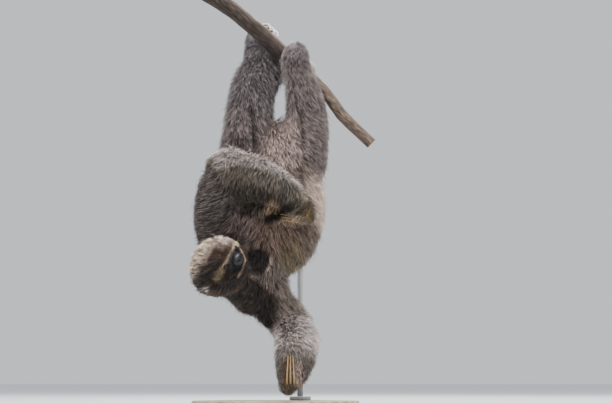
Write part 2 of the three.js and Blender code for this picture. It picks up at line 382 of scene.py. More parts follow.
def skin_finish():
    finish = Finish("skin", Specular_IOR_Level=0.3)
    close = finish.grain(finish.place(), scale=650, detail=4)
    wide = finish.grain(finish.place(), scale=120)
    shade = finish.shares(close, (0.3, (0.62, 0.60, 0.58)), (0.7, (1.05, 1.04, 1.02)))
    finish.feed("Base Color", finish.mix(1.0, finish.stored("markings"), shade, "MULTIPLY"))
    finish.feed("Roughness", 0.55 + close * 0.25)
    finish.bump(close * 0.7 + wide * 0.3, strength=0.5, distance=0.6 * MM)
    return finish


def eye_finish():
    finish = Finish("eye", Coat_Weight=0.35, Coat_Roughness=0.03, Specular_IOR_Level=0.25)
    from_pupil = finish.stored("from_pupil", "Fac")
    streaks = finish.grain(finish.place(), scale=1500, detail=2)
    iris = finish.colours(
        from_pupil + streaks * 0.08,
        (0.30, (6, 4, 4)),
        (0.38, (44, 26, 16)),
        (0.62, (62, 38, 22)),
        (0.74, (20, 12, 9)),
        (1.00, (74, 60, 52)),
    )
    finish.feed("Base Color", iris)
    finish.feed("Roughness", 0.08 + streaks * 0.06)
    return finish


def nose_finish():
    finish = Finish("nose_leather", Coat_Roughness=0.3, Specular_IOR_Level=0.25)
    cells = {"Vector": finish.place(), "Scale": 1300}
    pebbles = finish.node("ShaderNodeTexVoronoi", {"feature": "F1"}, cells)
    cloud = finish.grain(finish.place(), scale=160)
    tint = finish.colours(cloud, (0.3, (7, 7, 9)), (0.7, (21, 22, 27)))
    finish.feed("Base Color", finish.mix(pebbles * 0.35, tint, rgba(10, 10, 12)))
    finish.feed("Roughness", 0.38 + cloud * 0.18)
    finish.feed("Coat Weight", 0.08 + cloud * 0.2)
    finish.bump(pebbles, strength=0.5, distance=0.3 * MM)
    return finish


def claw_finish(name, dark, middle, pale, stain):
    """Horn in three tones along its fibres, stained near the toe."""
    finish = Finish(name, Specular_IOR_Level=0.5, Coat_Roughness=0.2)
    near_toe = finish.stored("near_toe", "Fac")
    fibres = finish.grain(finish.place(stretch=(6, 6, 1)), scale=180, detail=4)
    flecks = finish.grain(finish.place(), scale=420)
    horn = finish.colours(fibres, (0.30, dark), (0.55, middle), (0.75, pale))
    stained = finish.mix(near_toe * stain, horn, rgba(98, 76, 48))
    finish.feed("Base Color", finish.mix(flecks * 0.25, stained, rgba(*dark)))
    finish.feed("Roughness", 0.30 + flecks * 0.25)
    finish.feed("Coat Weight", 0.25 - near_toe * 0.2)
    finish.bump(fibres, strength=0.25, distance=0.3 * MM)
    return finish


def bark_finish(turn):
    """Streaked bark, pale on top as painted light and dark beneath as painted shade, and ringed wood on the
    sawn ends.
    """
    finish = Finish("bark", Specular_IOR_Level=0.3)
    along = finish.place(turn=turn, stretch=(1, 7, 7))
    streaks = finish.grain(along, scale=60, detail=5, roughness=0.6)
    patches = finish.grain(finish.place(turn=turn, stretch=(1, 2, 2)), scale=22)
    cracks = finish.grain(along, scale=190)
    # dark: the bark in painted shade, on its underside; pale: the same bark in painted light, on its upper
    # side
    dark = finish.colours(streaks, (0.32, (12, 9, 7)), (0.5, (36, 27, 22)), (0.66, (68, 55, 46)))
    pale = finish.colours(streaks, (0.32, (58, 46, 38)), (0.5, (120, 101, 86)), (0.66, (176, 158, 142)))
    shaded_to_lit_bark = finish.mix(finish.stored("worn", "Fac") + patches * 0.1, dark, pale)
    ring_phase = finish.stored("from_pith", "Fac") * 62 + patches * 6
    rings = finish.node("ShaderNodeMath", {"operation": "SINE"}, {0: ring_phase})
    figure = rings * 0.25 + cracks * 0.5 + 0.2
    wood = finish.colours(figure, (0.2, (150, 116, 78)), (0.8, (214, 186, 142)))
    finish.feed("Base Color", finish.mix(finish.stored("sawn", "Fac"), shaded_to_lit_bark, wood))
    finish.feed("Roughness", 0.62 + streaks * 0.25)
    finish.bump(streaks * 0.6 + cracks * 0.4, strength=0.6, distance=0.8 * MM)
    return finish


def steel_finish():
    finish = Finish("rod_steel", Metallic=0.3, Coat_Weight=0.1)
    brushed = finish.grain(finish.place(stretch=(1, 1, 0.05)), scale=700)
    cloud = finish.grain(finish.place(), scale=30, detail=2)
    steel = finish.colours(brushed, (0.3, (150, 151, 150)), (0.7, (176, 177, 175)))
    finish.feed("Base Color", steel)
    finish.feed("Roughness", 0.38 + brushed * 0.15 + cloud * 0.1)
    finish.bump(brushed, strength=0.08, distance=0.1 * MM)
    return finish


def base_finish():
    finish = Finish("base_oak", Specular_IOR_Level=0.4, Coat_Roughness=0.3)
    along = (0, 0, 0.3)
    figure = finish.grain(finish.place(turn=along, stretch=(1, 9, 1)), scale=9, detail=5, roughness=0.6)
    pores = finish.grain(finish.place(turn=along, stretch=(1, 30, 1)), scale=60)
    oak = finish.colours(figure, (0.32, (146, 122, 96)), (0.5, (180, 158, 131)), (0.68, (201, 183, 158)))
    dark_pores = finish.colours(pores, (0.34, (128, 104, 80)), (0.46, (255, 255, 255)))
    finish.feed("Base Color", finish.mix(0.6, oak, dark_pores, "MULTIPLY"))
    finish.feed("Roughness", 0.38 + figure * 0.2)
    finish.feed("Coat Weight", 0.2 + pores * 0.1)
    finish.bump(pores, strength=0.15, distance=0.3 * MM)
    return finish


def floor_finish():
    finish = Finish("pale_floor", Specular_IOR_Level=0.2)
    speckle = finish.grain(finish.place(), scale=40)
    grey = finish.shares(speckle, (0.3, (0.78, 0.79, 0.80)), (0.7, (0.82, 0.83, 0.84)))
    finish.feed("Base Color", grey)
    finish.feed("Roughness", 0.8 + speckle * 0.1)
    return finish


# ---- the head's own directions: forward, left, up, in millimetres from its middle ----
HEAD_CENTRE = np.array([-104, -92, 270]) * MM
HEAD_FORWARD = unit(np.array([0.52, -0.81, 0.26]))
ROUGHLY_LEFT = (0.37, 0.49, 0.79)
HEAD_UP = unit(np.cross(HEAD_FORWARD, ROUGHLY_LEFT))
HEAD_AXES = np.array([HEAD_FORWARD, np.cross(HEAD_UP, HEAD_FORWARD), HEAD_UP])
HEAD_RADII = np.array([62, 58, 58])

EYE_RADIUS = 5.6
EYE_PLACE = np.array([46, 22.5, 4.5])
EYE_AXIS = unit(np.array([0.84, 0.52, 0.12]))
EYE_SLIT = unit(np.array([-0.45, 0.85, -0.30]))
EYE_OPENING = (5.0, 2.7)  # half length and half height of the slit between the lids
SLIT_DEPTH = 3.4  # under the eyeball's surface
LID_THICKNESS = 0.9
NOSE_PLACE = np.array([59, 0, -6])
NOSE_RADII = np.array([8, 15, 10.5])
MUZZLE_PLACE = np.array([58, 0, -12])


def to_head(points):
    return (points - HEAD_CENTRE) @ HEAD_AXES.T / MM


def from_head(places):
    return (np.asarray(places) * MM) @ HEAD_AXES + HEAD_CENTRE


def on_side(places, side):
    """Places or ways given for the head's left, or their mirror images on its right."""
    return places * np.array([1, side, 1])


# ---- how the coat lies on each part of the body ----
@dataclass
class Lie:
    """The coat on one part: how deep, how long and how wide its tufts are, in millimetres."""

    depth: float
    length: float
    width: float
    colour: tuple
    comb: tuple  # the way that the hair points


GREY = (138, 127, 126)
SHADED_GREY = (122, 114, 116)
BROWN = (104, 88, 78)

LIES = {
    "head": Lie(8, 17, 0.95, (110, 88, 72), (0, 0, 0)),
    "ear_left": Lie(6, 12, 0.9, BROWN, (0, 0, 0)),
    "ear_right": Lie(6, 12, 0.9, BROWN, (0, 0, 0)),
    "neck": Lie(10, 20, 1.0, (116, 101, 90), (-0.2, -0.3, -0.9)),
    "trunk": Lie(12, 23, 1.0, (128, 115, 108), (0, 0, -1)),
    "tail": Lie(6, 16, 1.0, BROWN, (0, 1, -0.2)),
    "upper_arm_left": Lie(10, 22, 1.0, (94, 86, 83), (-0.8, -0.1, -0.5)),
    "forearm_left": Lie(9, 16, 0.9, (111, 103, 94), (-0.15, -0.2, -1)),
    "hand_left": Lie(4, 9, 0.8, (116, 104, 86), (-0.6, -0.2, -0.7)),
    "upper_arm_right": Lie(10, 20, 1.0, (140, 127, 119), (0.5, 0, -0.9)),
    # pale grey hair, painted paler still as the top light that the right forearm catches
    "forearm_right": Lie(8, 16, 0.92, (204, 194, 191), (0.35, -0.4, -0.7)),
    "hand_right": Lie(4, 9, 0.75, (122, 113, 108), (0, -0.2, -1)),
    "thigh_left": Lie(9, 18, 0.85, (125, 115, 115), (0.1, 0, -1)),
    "shank_left": Lie(8, 16, 0.85, SHADED_GREY, (0.1, 0, -1)),
    "foot_left": Lie(4, 10, 0.75, (156, 148, 151), (-0.1, 0, -1)),
    "thigh_right": Lie(9, 18, 0.85, (134, 122, 120), (0.8, 0, -1)),
    "shank_right": Lie(8, 16, 0.85, GREY, (0.45, 0, -1)),
    "foot_right": Lie(4, 10, 0.75, (138, 128, 130), (0.1, 0, -1)),
}

SKIN_VOXEL = 3.2 * MM
GROWN = 1.5 * MM  # how far the solids are swollen so that their partings close
INSET_STEPS = 8
BARE_GAP = 1.0  # this near to a claw, an eye, the nose or the branch the coat is at its thinnest
BARE_REACH = 13.0  # and within this distance of them it thins out
THIN_DEPTH = 0.22  # share of its depth that the thinnest coat keeps
THIN_LENGTH = 0.6  # and share of its length
SPRING = 2.0  # how far the tips stand over the coat's depth, in millimetres
FOOT_SPRING = 6.0  # and how much farther between the feet
HEAD_SPRING = 1.8  # and how much less on the head
SWAY = 0.2  # how far the hair wanders from its way
SWAY_GRAIN = 22  # turns of the wandering to a metre


def tree_of(nodes):
    """A tree of the faces of some solids, and the solid that each face belongs to."""
    corners = []
    faces = []
    owners = []
    for owner, name in enumerate(nodes):
        mesh = NODES[name].data
        first = len(corners)
        corners += [vertex.co.copy() for vertex in mesh.vertices]
        faces += [[first + corner for corner in polygon.vertices] for polygon in mesh.polygons]
        owners += [owner] * len(mesh.polygons)
    return BVHTree.FromPolygons(corners, faces), owners


def refine(shape, chosen):
    """Halves the edges of the faces whose middle is chosen, always in the same order."""
    shape.faces.ensure_lookup_table()
    shape.edges.index_update()
    middles = np.array([face.calc_center_median() for face in shape.faces])
    picked = np.nonzero(chosen(to_head(middles)))[0]
    edges = {edge for index in picked for edge in shape.faces[index].edges}
    in_order = sorted(edges, key=lambda edge: edge.index)
    bmesh.ops.subdivide_edges(shape, edges=in_order, cuts=1, use_grid_fill=True)


def on_face(places):
    near = np.linalg.norm(places / HEAD_RADII, axis=1) < 1.15
    return near & (places[:, 0] > 8)


def on_features(places):
    near_eyes = [
        np.linalg.norm(places - on_side(EYE_PLACE, side), axis=1) < 15 for side in SIDES.values()
    ]
    near_muzzle = np.linalg.norm(places - MUZZLE_PLACE, axis=1) < 25
    return near_eyes[0] | near_eyes[1] | near_muzzle


def rough_skin():
    """All parts of flesh as one closed surface, finer on the face."""
    joined = bmesh.new()
    for name in FLESH:
        part = merged_copy(name)
        part.normal_update()
        for vertex in part.verts:
            vertex.co += vertex.normal * GROWN
        mesh = bpy.data.meshes.new("part")
        part.to_mesh(mesh)
        part.free()
        joined.from_mesh(mesh)
        bpy.data.meshes.remove(mesh)
    closed = voxel_skin(joined, SKIN_VOXEL)
    shape = bmesh.new()
    shape.from_mesh(closed)
    refine(shape, on_face)
    refine(shape, on_features)
    every_way = {"use_axis_x": True, "use_axis_y": True, "use_axis_z": True}
    bmesh.ops.smooth_vert(shape, verts=shape.verts, factor=0.5, **every_way)
    bmesh.ops.triangulate(shape, faces=[face for face in shape.faces if len(face.verts) > 4])
    shape.to_mesh(closed)
    shape.free()
    return closed


class Body:
    """The skin's mesh and, for each of its vertices, how the coat lies there."""

    def __init__(self):
        self.mesh = rough_skin()
        self.next_to = Neighbours(self.mesh)
        self.points = self.next_to.smooth_shape(rows_of(self.mesh, "co"), 14)
        move_points(self.mesh, self.points)
        self.outer = self.points.copy()
        self.normals = rows_of(self.mesh, "normal")
        self.places = to_head(self.points)
        self.find_owners()
        self.room = self.room_beside([claw for claw in CLAWS if claw not in HIDDEN_CLAWS] + BARE)
        self.set_lie()

    def find_owners(self):
        tree, owners = tree_of(FLESH)
        self.owner = np.array([owners[tree.find_nearest(point)[2]] for point in self.points])

    def room_beside(self, nodes):
        """From 0 beside these solids to 1 at BARE_REACH from them."""
        tree, _ = tree_of(nodes)
        gaps = [tree.find_nearest(point)[3] for point in self.points]
        return ramp(np.array(gaps) / MM, BARE_GAP, BARE_REACH)

    def shared(self, take, rounds):
        """A value of each part, spread softly over the partings."""
        values = np.array([take(LIES[name]) for name in FLESH], float)[self.owner]
        return self.next_to.smooth(values, rounds)

    def on(self, *names):
        """1 on these parts and 0 elsewhere, soft at the edge."""
        wanted = [FLESH.index(name) for name in names]
        return self.next_to.smooth(np.isin(self.owner, wanted).astype(float), 8)

    def covered(self, part):
        """1 where a part of the coat grows."""
        if part == "face":
            return self.face
        if part == "crown":
            return self.head - self.face
        return self.on(part)

    def set_lie(self):
        plane = self.outer[:, [0, 2]] / MM  # as seen from before the belly
        self.head = self.on("head")
        self.face = self.head * ramp(self.places[:, 0], 18, 40)
        near_nose = ramp(np.linalg.norm(self.places - NOSE_PLACE - [0, 0, -4], axis=1), 34, 18)
        near_hand = blob(plane, (18, 376), (52, 24), 0.25) * ramp(self.outer[:, 1], 0, -0.03)
        throat = blob(plane, (-34, 285), (36, 36), 0.25) * self.on("trunk", "neck")
        close = np.maximum(near_hand, throat)
        between_feet = blob(self.outer / MM, (12, 10, 687), (16, 60, 23), 0.3)
        self.depth = self.shared(lambda lie: lie.depth, 16)
        self.length = self.shared(lambda lie: lie.length, 16)
        self.width = self.shared(lambda lie: lie.width, 16)
        for mask, depth, length in ((self.face, 4.0, 6.5), (near_nose, 2.4, 3.6), (close, 7.0, 10.0)):
            self.depth = blend(self.depth, depth, mask)
            self.length = blend(self.length, length, mask)
        for mask, width in ((self.face, 0.62), (close, 0.8)):
            self.width = blend(self.width, width, mask)
        self.depth = self.depth * blend(THIN_DEPTH, 1, self.room)
        self.length = self.length * blend(THIN_LENGTH, 1, self.room)
        self.spring = SPRING + FOOT_SPRING * between_feet - HEAD_SPRING * self.head
        self.comb = unit(self.combed())
        self.colour = markings(self)

    def combed(self):
        """The way that the hair lies, before it is laid flat on the skin."""
        comb = self.shared(lambda lie: lie.comb, 12)
        x, _, z = (self.outer / MM).T
        front = ramp(self.normals[:, 1], 0.1, -0.5)
        chest = self.on("trunk") * ramp(z, 470, 400)
        outwards = np.stack([(x + 5) / 60, 0 * x, -0.55 + 0 * x], axis=1)
        comb = blend(comb, outwards, chest * front * 0.45)
        elbow = self.on("forearm_left", "upper_arm_left") * ramp(x, -80, -125)
        comb = blend(comb, np.array([-1, -0.1, -0.45]), elbow)
        toes = self.on("foot_left") * ramp(z, 716, 748)
        comb = blend(comb, np.array([-0.5, -0.1, 1]), toes)
        from_nose = self.places - NOSE_PLACE + [14, 0, 4]
        comb = blend(comb, unit(from_nose) @ HEAD_AXES, self.head)
        sway = np.array([noise.noise_vector(Vector(point) * SWAY_GRAIN) for point in self.outer])
        return unit(comb) + SWAY * sway

    def inset(self):
        """Moves the skin in from the coat's outer surface by the coat's depth."""
        step = (self.depth * MM + GROWN) / INSET_STEPS
        for _ in range(INSET_STEPS):
            self.points = self.points - rows_of(self.mesh, "normal") * step[:, None]
            self.points = self.next_to.smooth_shape(self.points, 2)
            move_points(self.mesh, self.points)

    def carve_head(self):
        """Lids, the dip round each eye, the mouth's line and the rims of the lips."""
        places = to_head(self.points)
        for side in SIDES.values():
            places = carve_eye(places, side, self.head)
        places = carve_mouth(places, rows_of(self.mesh, "normal") @ HEAD_AXES.T, self.head)
        self.points = from_head(places)
        move_points(self.mesh, self.points)
        self.normals = rows_of(self.mesh, "normal")

    def lay_triangles(self):
        """The skin's triangles, and a tree that finds the one nearest to a point."""
        self.mesh.calc_loop_triangles()
        triangles = self.mesh.loop_triangles
        self.corners = np.zeros(len(triangles) * 3, int)
        self.loops = np.zeros(len(triangles) * 3, int)
        triangles.foreach_get("vertices", self.corners)
        triangles.foreach_get("loops", self.loops)
        self.corners = self.corners.reshape(-1, 3)
        self.loops = self.loops.reshape(-1, 3)
        self.tree = BVHTree.FromPolygons(self.points.tolist(), self.corners.tolist())


def carve_eye(places, side, head):
    """Lays the lids on the eyeball, opens the slit between them and sinks a dip round them."""
    centre = on_side(EYE_PLACE, side)
    axis = on_side(EYE_AXIS, side)
    across = on_side(EYE_SLIT, side)
    across = unit(across - axis * (across @ axis))
    upright = np.cross(axis, across)
    from_eye = places - centre
    height = from_eye @ axis
    along = from_eye @ across
    above = from_eye @ upright
    radial = np.hypot(along, above)
    near = (head > 0.5) & (height > -7) & (radial < 16)
    lid = np.sqrt(np.maximum((EYE_RADIUS + LID_THICKNESS) ** 2 - radial**2, 0.01))
    wanted = blend(height, lid, ramp(radial, 9.5, EYE_RADIUS))
    half_length, half_height = EYE_OPENING
    edge = np.abs(above) / half_height + (along / half_length) ** 2
    rim = 0.45 * hump(edge, 1.25, 0.3) * ramp(radial, 7.5, 6)
    dip = 0.5 * hump(radial, 8.2, 1.3)
    wanted = wanted + rim - dip
    in_slit = (edge < 1) & (radial < 6)
    wanted = np.where(in_slit, np.minimum(wanted, EYE_RADIUS - SLIT_DEPTH), wanted)
    change = np.where(near, wanted - height, 0)
    return places + axis * change[:, None]


MOUTH = np.array([[58, 0, -22], [54, 12, -22.5], [44, 24, -19], [33, 33, -13]])
MOUTH_STEPS = 80
MOUTH_WEIGHTS = (0.35, 1, 1)  # how much a gap forward, to the left and upwards counts


def mouth_line():
    """Points along the mouth, from one corner to the other."""
    corners = np.concatenate([on_side(MOUTH[:0:-1], -1), MOUTH])
    numbers = np.arange(len(corners))
    steps = np.linspace(0, len(corners) - 1, MOUTH_STEPS)
    return np.stack([np.interp(steps, numbers, column) for column in corners.T], axis=1)


def gap_to_mouth(places):
    gaps = [np.linalg.norm((places - point) * MOUTH_WEIGHTS, axis=1) for point in mouth_line()]
    return np.min(gaps, axis=0)


def carve_mouth(places, normals, head):
    gap = gap_to_mouth(places)
    front = (head > 0.5) & (places[:, 0] > 20)
    groove = -1.7 * hump(gap, 0, 1.3) + 0.7 * hump(gap, 3.4, 1.6)
    return places + normals * np.where(front, groove, 0)[:, None]


# ---- markings ----
CREAM = (206, 188, 160)
TAN = (158, 132, 112)
SOOT = (26, 19, 18)
OLIVE = (94, 84, 56)
# the brow's cream in painted shade, for the temple that is turned away from the light
SHADED_CREAM = blend(linear(*CREAM), linear(*OLIVE), 0.85)
WHITE_HAIR = (240, 232, 234)
# the line of the painted highlight on the lit edge of the chest hair round the throat
LIT_THROAT_RIM = ((-8, 290), (-9, 276), (-17, 264))
LIP_RIM = ((46, 33, -6), (50, 26, -9), (60, 9, -18), (60, -8, -24), (46, -24, -29))
THIGH_FOLDS = {"left": -47, "right": 49}


def blob(places, centre, radii, soft=0.4):
    """1 inside an ellipsoid or an ellipse, softly down to 0 outside it."""
    reach = np.linalg.norm((places - np.array(centre)) / np.array(radii), axis=1)
    return ramp(reach, 1 + soft, 1 - soft)


def stripe(places, start, end, half_width, soft=0.5):
    """1 along a straight band, softly down to 0 beside it."""
    start = np.array(start, float)
    way = np.array(end, float) - start
    share = np.clip((places - start) @ way / (way @ way), 0, 1)
    gap = np.linalg.norm(places - start - share[:, None] * way, axis=1)
    return ramp(gap, half_width * (1 + soft), half_width * (1 - soft))


def paint(colours, patches):
    """Lays patches over the colours in turn: a display colour or the shader's own, strength and mask."""
    for colour, strength, mask in patches.values():
        tint = linear(*colour) if isinstance(colour, tuple) else colour
        colours = blend(colours, tint, mask * strength)
    return colours


def shaded_side(x, z):
    """Painted shade behind the head, from the throat to the hanging arm."""
    slope = np.where(z > 212, 1.4 * (z - 212), 0.16 * (212 - z)) + 0.8 * np.maximum(165 - z, 0)
    return ramp(z, 278, 262) * ramp(z, 124, 156) * ramp(x + slope, 20, -2)


def mottled(body, colours):
    """Pale and dark blotches on the back, and speckles and soft light and dark all over."""
    back = body.on("trunk") * ramp(body.normals[:, 1], -0.1, 0.5)
    mottle = np.array([noise.fractal(Vector(point) * 26, 1.0, 2.0, 3) for point in body.outer])
    cloud = np.array([noise.noise(Vector(point) * 75) for point in body.outer])
    colours = blend(colours, linear(186, 170, 142), back * ramp(mottle, 0.05, 0.5) * 0.75)
    colours = blend(colours, linear(74, 62, 54), back * ramp(mottle, -0.05, -0.5) * 0.6)
    return colours * (0.86 + 0.26 * ramp(mottle, -0.5, 0.6) + 0.32 * cloud)[:, None]


def body_markings(body, colours):
    """The marks of trunk, arms and legs, with painted light and shade among them, in millimetres of the whole
    model.
    """
    world = body.outer / MM
    x, _, z = world.T
    plane = world[:, [0, 2]]  # as seen from before the belly
    upwards = body.normals[:, 2]
    backwards = body.normals[:, 1]
    before = ramp(backwards, 0.25, -0.15)
    forearm = body.on("forearm_left")
    hand = body.on("hand_left")
    folded = forearm + hand
    belly = body.on("trunk") * before
    chest = body.on("trunk", "neck") * before
    palm = body.on("hand_right") * before
    wrist = body.on("forearm_right")
    upper_arm = body.on("upper_arm_right")
    shoulder = body.on("trunk", "upper_arm_left") * before
    # where the painted shade behind the head falls, on trunk, neck and hanging arm
    hanging = body.on("trunk", "neck", "upper_arm_right") * shaded_side(x, z)
    lit = ramp(upwards, -0.1, 0.4)
    throat = np.maximum(
        blob(plane, (-34, 285), (27, 27), 0.12), blob(plane, (-52, 282), (18, 22), 0.2)
    )
    patches = {
        "groin": ((202, 182, 177), 0.85, blob(world, (16, -60, 524), (46, 60, 60))),
        # pale right flank: pinkish hair, painted paler still as light falling from the right
        "flank": ((214, 194, 182), 0.9, belly * blob(plane, (84, 410), (26, 60))),
        "chest": ((140, 116, 104), 0.75, belly * blob(world, (14, -80, 335), (62, 70, 46))),
        "low flank": ((98, 86, 78), 0.6, belly * blob(world, (66, -40, 330), (26, 60, 40))),
        # painted light on the forearm's upper side, and painted shade on its underside
        "forearm top": ((218, 208, 206), 0.9, forearm * ramp(upwards, 0.15, 0.75)),
        "forearm under": ((48, 42, 36), 0.85, forearm * ramp(upwards, -0.05, -0.65)),
        # painted light on the top of the wrist
        "wrist top": ((216, 202, 193), 0.7, folded * lit * stripe(plane, (18, 464), (58, 432), 8)),
        "hand edge": ((170, 156, 140), 0.6, folded * before * stripe(plane, (56, 424), (63, 402), 7)),
        "shoulder": ((158, 139, 136), 0.6, shoulder * blob(plane, (-64, 354), (30, 20))),
        "breast": ((160, 136, 124), 0.45, belly * blob(plane, (-8, 350), (24, 16))),
        "olive breast": ((104, 95, 64), 0.6, belly * blob(plane, (34, 294), (24, 34))),
        "shank": ((98, 89, 91), 0.6, body.on("shank_right") * blob(world, (45, -30, 680), (24, 60, 22))),
        # painted shadow on the belly under the forearm
        "below forearm": ((50, 44, 41), 0.7, belly * blob(plane, (-50, 388), (50, 20))),
        "wrist": ((172, 146, 118), 0.9, (forearm + belly) * blob(plane, (-8, 383), (15, 9), 0.3)),
        # painted shadow in the gap between the folded hand and the belly
        "hollow": ((12, 10, 11), 0.98, before * stripe(plane, (-15, 363), (27, 382), 7.5, 0.2)),
        "fingers": ((176, 154, 132), 0.85, (hand + belly) * stripe(plane, (16, 362), (54, 362), 6, 0.4)),
        "knuckle": ((198, 164, 92), 0.65, hand * blob(plane, (66, 370), (3.5, 9), 0.35)),
        # the brown throat, painted darker as the shade in the hollow under the chin
        "throat": ((48, 42, 43), 0.92, chest * throat),
        # pale hair, partly painted light on the lit bulge of the right elbow
        "elbow": ((172, 160, 152), 0.75, upper_arm * blob(world, (56, 20, 172), (30, 80, 34), 0.6)),
        "hand top": ((172, 162, 157), 0.75, body.on("hand_right") * ramp(z, 80, 106)),
        # painted shade: dark colour behind the head, on the side that faces the front
        "behind head": ((37, 31, 28), 0.95, hanging * ramp(backwards, 0.8, 0.2)),
        # pale hair, partly painted light on the front of the right forearm
        "forearm": ((196, 184, 180), 0.7, wrist * blob(world, (36, -80, 124), (20, 60, 20))),
        "palm": ((120, 98, 76), 0.8, palm * blob(plane, (25, 70), (12, 30), 0.3)),
        "palm edge": ((190, 170, 160), 0.85, palm * blob(plane, (46, 66), (8, 28), 0.4)),
        "finger tips": ((120, 112, 102), 0.7, palm * ramp(z, 44, 34)),
        "left foot": (WHITE_HAIR, 0.9, blob(world, (-48, 22, 753), (9, 30, 9))),
        "right foot": (WHITE_HAIR, 0.95, blob(world, (31, -42, 725), (12, 24, 11))),
    }
    # painted highlight: the lit edge of the chest hair round the shaded throat
    for start, end in zip(LIT_THROAT_RIM, LIT_THROAT_RIM[1:]):
        rim = stripe(plane, start, end, 2.3, 0.4)
        patches[f"throat rim {start}"] = ((228, 208, 190), 0.85, chest * rim)
    # painted shade in the crease of each thigh's fold, on the side that faces the front
    for side, fold_x in THIGH_FOLDS.items():
        fold = stripe(plane, (fold_x, 606), (fold_x + 6, 512), 5, 0.6)
        seen = body.on(f"thigh_{side}") * ramp(backwards, -0.2, -0.7)
        patches[f"{side} thigh fold"] = ((64, 54, 52), 0.75, fold * seen)
    return paint(colours, patches)


def head_markings(body, colours):
    """The brown cap, darker as painted shade where it faces down, the crown made pale by painted sunlight,
    painted shade under the head, and the marks of the face, in the head's own directions.
    """
    head = body.head
    places = body.places
    forward, left, up = places.T
    upwards = body.normals[:, 2]
    front = head * ramp(forward, 8, 26)
    face = np.stack([forward * 0.25, np.abs(left), up], axis=1)
    # painted sunlight: the crown pale where it faces the sun, up and to the left, and where it faces straight
    # up
    sunny = ramp(body.normals @ [-0.74, 0, 0.67], 0.3, 0.9)
    painted_sunlight = np.maximum(sunny, ramp(upwards, 0.5, 0.95)) * ramp(up, 8, 26)
    painted_sunlight = body.next_to.smooth(painted_sunlight, 5)
    cap = head * ramp(up, 13, 18) * ramp(forward, -16, 6) * (1 - painted_sunlight)
    # painted shade: the cap's brown darker where it faces down
    shaded = body.next_to.smooth(ramp(upwards, 0.65, -0.1), 4)
    brown = blend(np.tile(linear(72, 53, 47), (len(places), 1)), linear(20, 15, 13), shaded)
    around = unit(places[:, 1:]) * 13
    streaks = np.array([noise.noise(Vector((*way, ahead / 26))) for way, ahead in zip(around, forward)])
    brow = stripe(face, (12, 0, 11.5), (10, 34, 9.5), 2.7, 0.5)
    bridge = stripe(face, (14, 0, 11.5), (14, 0, 10), 3.4, 0.5)
    temple = stripe(face, (10, 33, 8), (8, 47, 5), 6, 0.5)
    eye_band = stripe(face, (12, 20, 3.0), (9, 38, -9.5), 4.0, 0.35)
    muzzle = np.maximum(
        blob(face, (15, 0, -12), (8, 27, 13), 0.3), blob(face, (15, 0, -4), (8, 21, 11), 0.2)
    )
    leather = blob(places, NOSE_PLACE + [-4, 2, 3], (22, 19, 16), 0.3)
    patches = {
        "cap": (brown, 0.95, cap),
        # painted sunlight on the crown
        "crown": ((250, 232, 220), 0.95, head * painted_sunlight),
        "crown streaks": ((66, 52, 45), 0.8, head * painted_sunlight * ramp(streaks, -0.05, 0.22)),
        "cap streaks": ((150, 128, 116), 0.3, cap * ramp(streaks, -0.1, -0.4)),
        "crown edge": ((190, 168, 132), 0.25, head * ramp(up, 38, 52) * ramp(upwards, -0.7, 0)),
        # painted shade under the head
        "under": ((38, 31, 26), 0.9, head * ramp(upwards, -0.15, -0.6)),
        # brown hair of the lower face, painted darker still as the shade that falls on it
        "lower face": ((50, 40, 35), 0.92, front * ramp(up, 8, -4)),
        "brow": (CREAM, 0.9, front * brow),
        "bridge": (CREAM, 0.6, front * bridge),
        "left temple": (CREAM, 0.95, front * temple * (left >= 0)),
        # the right temple: the same cream as the left, in painted shade
        "right temple": (SHADED_CREAM, 0.95, front * temple * (left < 0)),
        "eye band": (SOOT, 0.97, front * eye_band),
        "muzzle": ((17, 16, 19), 0.97, front * muzzle),
        # dark bare skin round the nose, with the wet nose's blue-grey sheen painted into it
        "leather": ((52, 54, 62), 0.8, front * leather),
        # dark chin hair, painted darker still as the shade under the face
        "chin": ((32, 27, 27), 0.95, front * ramp(up, -14, -24) * (1 - muzzle)),
    }
    for start, end in zip(LIP_RIM, LIP_RIM[1:]):
        patches[f"lip {start}"] = (TAN, 0.9, front * stripe(places, start, end, 3.2, 0.45))
    # pale hairs at the lower rim of the head, painted as bright as backlit hair
    patches["pale tuft"] = ((246, 240, 238), 1, head * blob(places, (-8, -65, 7), (10, 9, 8), 0.25))
    patches["mouth"] = ((22, 16, 15), 0.9, front * ramp(gap_to_mouth(places), 2.2, 0.9))
    for name, side in SIDES.items():
        from_eye = np.linalg.norm(places - on_side(EYE_PLACE, side), axis=1)
        patches[f"{name} lids"] = ((26, 19, 17), 0.95, head * ramp(from_eye, 6.8, 5.6))
    return paint(colours, patches)


def markings(body):
    """The colour of skin and coat at each vertex of the skin."""
    base = body.shared(lambda lie: linear(*lie.colour), 14)
    return head_markings(body, body_markings(body, mottled(body, base)))


# ---- coat ----
PATCH = 0.003  # size of a tuft's patch on the baking map
TUFT_SIDES = 3
TUFT_FLATNESS = 0.62
RINGS = 3
ROOT_DEPTH = 0.8 * MM
CROWDING = 1.15  # how strongly finer tufts stand closer together
SIDEWAYS = 0.16  # how far tufts lean out of the comb's way
STRAY_SHARE = 0.06
STRAY_RISE = 1.5  # how many times as high a stray tuft stands
# the least and the most of each, as shares of what the body says
LENGTHS = (0.72, 1.15)
HEIGHTS = (0.6, 1.2)
WIDTHS = (0.8, 1.2)
SHADES = (0.38, 1.55)
PALENESS_SPREAD = 0.44
SKIN_SHADE = 0.52  # how dark the skin is under its coat
UNWRAP_ANGLE = math.radians(66)
UNWRAP_MARGIN = 0.003


@dataclass
class Fleece:
    """One coat: the parts it covers, its tufts, and how they gather in locks."""

    parts: tuple
    tufts: int
    pieces: int
    slot: str
    gathered: int  # tufts to a lock
    pull: float  # how far their tips are drawn together
    contrast: float  # how unlike the locks are
    pale: float  # how pale the tips are


